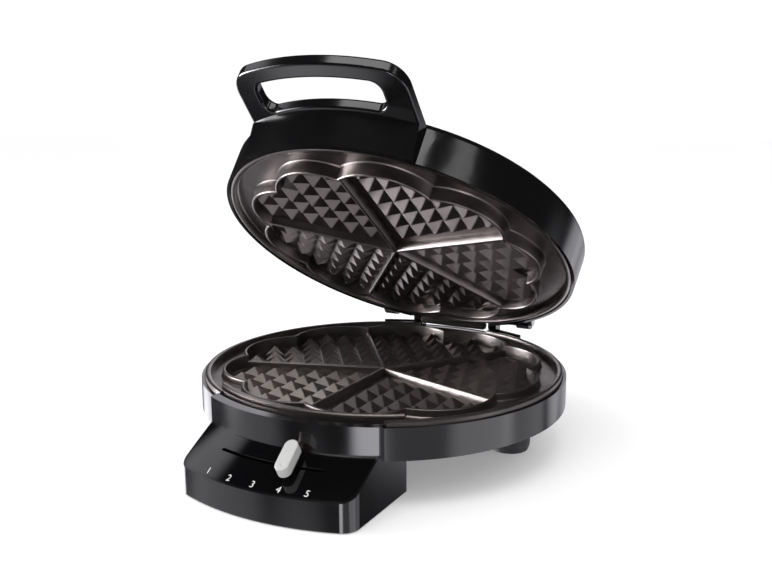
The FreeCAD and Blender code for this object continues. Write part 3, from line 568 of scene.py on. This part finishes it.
def glow(nodes, links, azimuth, elevation, inner, outer, radiance):
    """A soft round patch of light in some direction, for reflections."""
    coords = nodes.get("coords") or nodes.new("ShaderNodeTexCoord")
    coords.name = "coords"
    towards = nodes.new("ShaderNodeVectorMath")
    towards.operation = "DOT_PRODUCT"
    towards.inputs[1].default_value = direction(azimuth, elevation)
    patch = nodes.new("ShaderNodeMapRange")
    patch.interpolation_type = "SMOOTHSTEP"
    patch.inputs["From Min"].default_value = math.cos(math.radians(outer))
    patch.inputs["From Max"].default_value = math.cos(math.radians(inner))
    patch.inputs["To Max"].default_value = radiance
    links.new(coords.outputs["Generated"], towards.inputs[0])
    links.new(towards.outputs["Value"], patch.inputs["Value"])
    return patch.outputs["Result"]


BRIGHTEST, DARKEST = 1.03, 0.02      # the white world, and the world in reflections away from the glows
GLOWS = [
    # azimuth, elevation, full to, gone by, radiance
    (0, -90, 40, 92, 0.03),
    (-13, -37, 9, 19, 0.8),
    (-54, -31, 14, 27, 0.9),
    (-70, -2, 8, 16, 36.0),
    (-112, -27, 7, 20, 2.8),
    (-66, -56, 4, 12, 1.4),
    (-98, 38, 3, 10, 1.1),
    (20, -21, 4, 12, 6.8),
    (47, -20, 14, 30, 0.62),
    (90, -20, 12, 25, 2.1),
    (124, -17, 12, 22, 0.95),
    (157, -12, 6, 14, 1.2),
    (180, -14, 6, 16, 0.6),
    (-172, -58, 8, 20, 2.0),
    (-151, 12, 6, 18, 1.5),
]


def make_world():
    """White behind and on the object; glossy rays see near darkness with the glows instead."""
    world = bpy.data.worlds.new("studio")
    world.use_nodes = True
    nodes, links = world.node_tree.nodes, world.node_tree.links
    white = nodes["Background"]
    white.inputs["Color"].default_value = (1.0, 1.0, 1.0, 1.0)
    white.inputs["Strength"].default_value = BRIGHTEST
    total = None
    for patch in GLOWS:
        result = glow(nodes, links, *patch)
        if total is None:
            total = result
            continue
        add = nodes.new("ShaderNodeMath")
        links.new(total, add.inputs[0])
        links.new(result, add.inputs[1])
        total = add.outputs[0]
    least = nodes.new("ShaderNodeMath")
    least.inputs[1].default_value = DARKEST
    links.new(total, least.inputs[0])
    dark = nodes.new("ShaderNodeBackground")
    dark.inputs["Color"].default_value = (0.96, 0.94, 1.0, 1.0)
    links.new(least.outputs[0], dark.inputs["Strength"])
    path = nodes.new("ShaderNodeLightPath")
    mix = nodes.new("ShaderNodeMixShader")
    links.new(path.outputs["Is Glossy Ray"], mix.inputs["Fac"])
    links.new(white.outputs["Background"], mix.inputs[1])
    links.new(dark.outputs["Background"], mix.inputs[2])
    links.new(mix.outputs["Shader"], nodes["World Output"].inputs["Surface"])
    bpy.context.scene.world = world
    bpy.context.scene.view_settings.view_transform = "Standard"


def make_lights():
    make_world()
    softbox("overhead", 8, 68, 1.30, 1.10, 0.46, 3.4)
    softbox("front_left", -60, 14, 1.25, 0.52, 0.66, 7.0)
    softbox("right", 72, 44, 1.40, 0.40, 0.35, 2.0)


def make_camera():
    azimuth, elevation, roll, distance = 28.5, 11.43, math.radians(-0.24), 598.7
    back = direction(azimuth, elevation)
    right = direction(azimuth + 90, 0)
    up = back.cross(right)
    aim = Vector((0, PLATE_AXIS.y, 80 * MM)) + right * 1.50 * MM + up * 19.01 * MM
    turned_right = right * math.cos(roll) + up * math.sin(roll)
    turned_up = up * math.cos(roll) - right * math.sin(roll)
    data = bpy.data.cameras.new("camera")
    data.sensor_width = 36.0
    data.lens = 42.09
    camera = bpy.data.objects.new("camera", data)
    turn = Matrix((turned_right, turned_up, back)).transposed().to_4x4()
    camera.matrix_world = Matrix.Translation(aim + back * distance * MM) @ turn
    bpy.context.collection.objects.link(camera)
    bpy.context.scene.camera = camera


make_floor()
make_lights()
make_camera()
